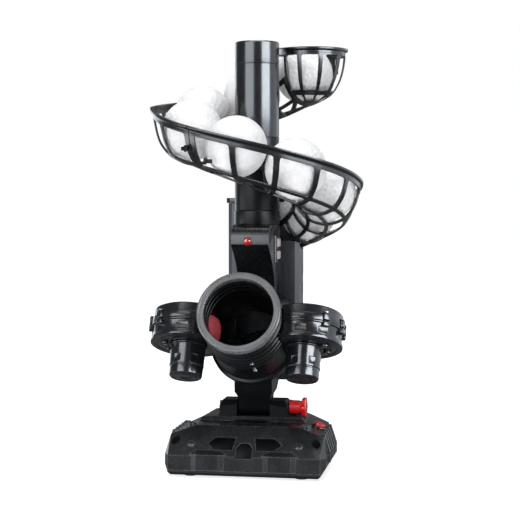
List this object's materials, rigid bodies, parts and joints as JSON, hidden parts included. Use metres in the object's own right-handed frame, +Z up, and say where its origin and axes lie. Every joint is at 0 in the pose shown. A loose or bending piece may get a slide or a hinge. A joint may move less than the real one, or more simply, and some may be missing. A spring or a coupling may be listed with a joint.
{
  "type": "toy baseball pitching machine",
  "caption": "Battery toy pitching machine: tilting two-wheel launcher on a flat base, with a ball tower and a helical ball ramp around a column.",
  "frame": {"origin": "centre of the base's underside, on the surface it stands on", "axes": "+Z up; -Y towards the batter, the way the balls leave; +X to the right seen from the front"},
  "size_m": [0.2591, 0.2791, 0.5159],
  "materials": {
    "shell_plastic": "satin moulded, fine grain",
    "gloss_plastic": "polished black",
    "satin_plastic": "satin black",
    "pan_plastic": "matt black",
    "grey_plastic": "satin grey",
    "red_plastic": "semi gloss red",
    "foam": "foamed, matt",
    "steel": "turned",
    "cells": "foil",
    "rubber": "matt",
    "board": "lacquered",
    "ball_skin": "dimpled, matt",
    "lens": "clear red",
    "button_white": "satin"
  },
  "bodies": {
    "base": {"base_upper_shell": "shell_plastic", "base_lower_pan": "pan_plastic", "foot_front_left": "rubber", "foot_front_right": "rubber", "foot_rear_left": "rubber", "foot_rear_right": "rubber", "battery_pack": "cells", "base_screw_left": "steel", "base_screw_right": "steel", "power_button_bezel": "satin_plastic", "clevis_bracket": "satin_plastic", "pivot_bolt": "steel"},
    "head": {"barrel_tube": "satin_plastic", "muzzle_ring": "grey_plastic", "breech_housing": "gloss_plastic", "tower_front_shell": "satin_plastic", "tower_rear_shell": "satin_plastic", "tower_hat": "satin_plastic", "shaft_floor": "satin_plastic", "control_board": "board", "neck_bracket": "satin_plastic", "column_bracket": "gloss_plastic", "feed_motor": "steel", "led_lens": "lens", "button_panel": "satin_plastic", "column_collar": "gloss_plastic", "column_tube_lower": "gloss_plastic", "column_tube_upper": "gloss_plastic", "column_cap": "gloss_plastic", "ramp_segment_upper": "satin_plastic", "ramp_segment_lower": "satin_plastic", "ramp_end_bowl": "satin_plastic", "wheel_housing_upper_left": "gloss_plastic", "wheel_housing_lower_left": "gloss_plastic", "motor_cover_left": "gloss_plastic", "wheel_motor_left": "steel", "wheel_housing_upper_right": "gloss_plastic", "wheel_housing_lower_right": "gloss_plastic", "motor_cover_right": "gloss_plastic", "wheel_motor_right": "steel", "ball_1": "ball_skin", "ball_2": "ball_skin", "ball_3": "ball_skin", "ball_4": "ball_skin", "ball_5": "ball_skin", "ball_6": "ball_skin", "ball_7": "ball_skin", "ball_8": "ball_skin"},
    "battery_door": {"battery_door": "shell_plastic"},
    "power_button": {"power_button": "red_plastic"},
    "tilt_knob": {"tilt_knob": "red_plastic"},
    "flywheel_left": {"flywheel_hub_left": "satin_plastic", "flywheel_tyre_left": "foam"},
    "flywheel_right": {"flywheel_hub_right": "satin_plastic", "flywheel_tyre_right": "foam"},
    "feed_rotor": {"feed_wheel": "red_plastic"},
    "speed_button_upper": {"speed_button_upper": "button_white"},
    "speed_button_lower": {"speed_button_lower": "button_white"}
  },
  "joints": [
    {"name": "head_tilt", "type": "hinge", "parent": "base", "child": "head", "pos_m": [0, 0.009, 0.073], "axis": [1, 0, 0], "range_deg": [-12, 12]},
    {"name": "tilt_knob_turn", "type": "hinge", "parent": "base", "child": "tilt_knob", "pos_m": [0, 0.009, 0.073], "axis": [1, 0, 0], "continuous": true},
    {"name": "battery_door_open", "type": "hinge", "parent": "base", "child": "battery_door", "pos_m": [0, 0.0778, 0.0142], "axis": [-1, 0, 0], "range_deg": [0, 95]},
    {"name": "power_button_press", "type": "slide", "parent": "base", "child": "power_button", "axis": [-0.4031, 0, -0.9152], "range_m": [0, 0.002]},
    {"name": "flywheel_left_spin", "type": "hinge", "parent": "head", "child": "flywheel_left", "pos_m": [-0.0685, -0.051, 0.171], "axis": [0, 0.4226, 0.9063], "continuous": true},
    {"name": "flywheel_right_spin", "type": "hinge", "parent": "head", "child": "flywheel_right", "pos_m": [0.0685, -0.051, 0.171], "axis": [0, 0.4226, 0.9063], "continuous": true},
    {"name": "feed_rotor_turn", "type": "hinge", "parent": "head", "child": "feed_rotor", "pos_m": [0, 0.051, 0.237], "axis": [1, 0, 0], "continuous": true},
    {"name": "speed_button_upper_press", "type": "slide", "parent": "head", "child": "speed_button_upper", "axis": [-1, 0, 0], "range_m": [0, 0.0008]},
    {"name": "speed_button_lower_press", "type": "slide", "parent": "head", "child": "speed_button_lower", "axis": [-1, 0, 0], "range_m": [0, 0.0008]}
  ]
}
